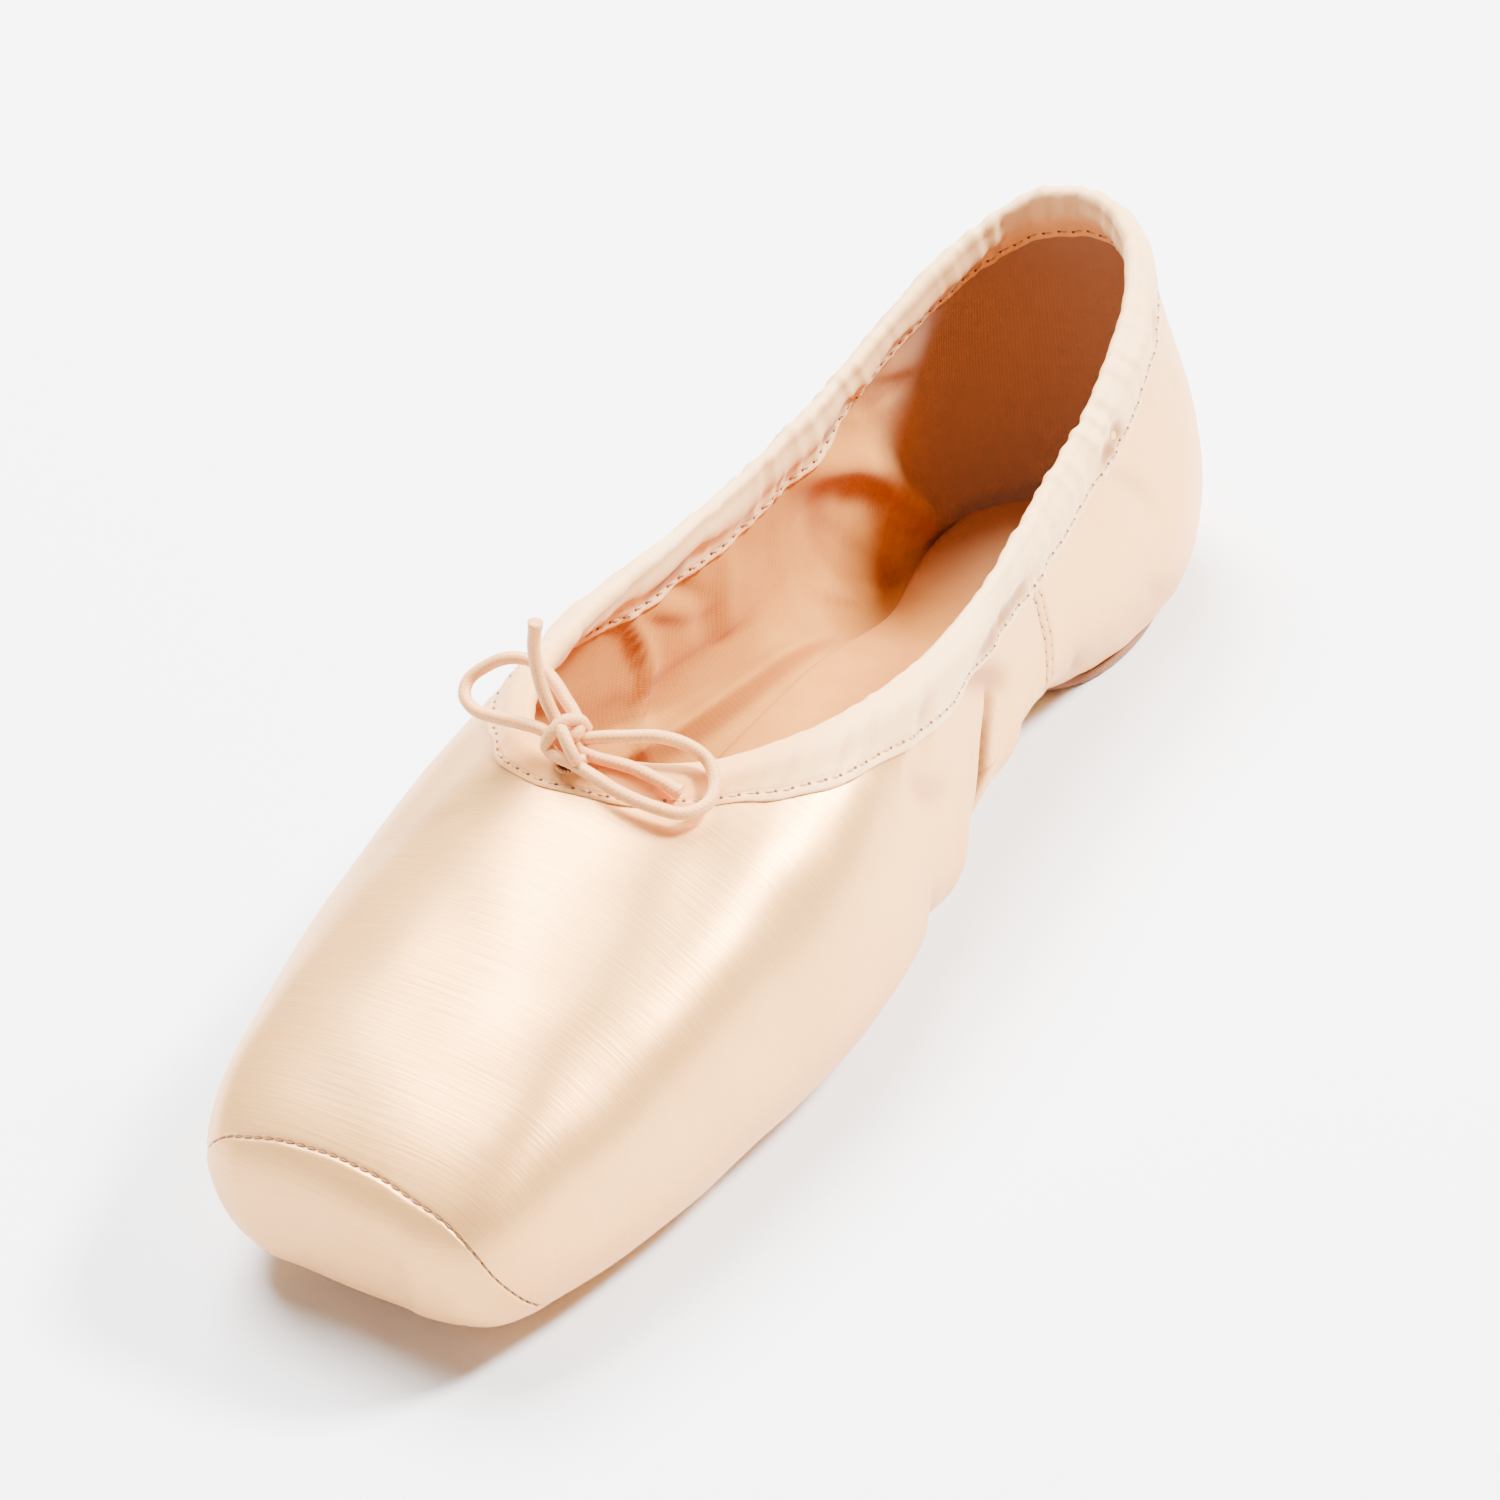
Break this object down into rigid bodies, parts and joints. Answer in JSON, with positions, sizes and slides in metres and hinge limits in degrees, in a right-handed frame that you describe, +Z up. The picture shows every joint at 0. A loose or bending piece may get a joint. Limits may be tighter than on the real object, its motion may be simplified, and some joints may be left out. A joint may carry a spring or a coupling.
{
  "type": "pointe shoe",
  "caption": "Satin ballet pointe shoe with a stiff flat-tipped box, a drawstring casing round the collar tied in a small bow, and a split leather sole.",
  "frame": {"origin": "on the floor under the middle of the shoe", "axes": "+Z up, toe towards -Y, heel towards +Y, the shoe is mirrored about the plane X = 0"},
  "size_m": [0.0822, 0.236, 0.076],
  "materials": {
    "satin": "glossy peach satin over a cotton lining, stiffened with paste in the box",
    "casing_tape": "pale ribbed binding tape, softly gathered",
    "sole_leather": "tan suede-like sole leather with incised grooves",
    "insole_board": "fibre board under a cotton sock",
    "cotton_string": "round pale cotton cord"
  },
  "bodies": {
    "root": {"upper": "satin", "drawstring_casing": "casing_tape", "heel_tape": "satin", "outsole_front": "sole_leather", "outsole_heel": "sole_leather", "insole": "insole_board", "drawstring_knot": "cotton_string", "drawstring_loop_left": "cotton_string", "drawstring_end_left": "cotton_string", "drawstring_loop_right": "cotton_string", "drawstring_end_right": "cotton_string"}
  },
  "joints": []
}
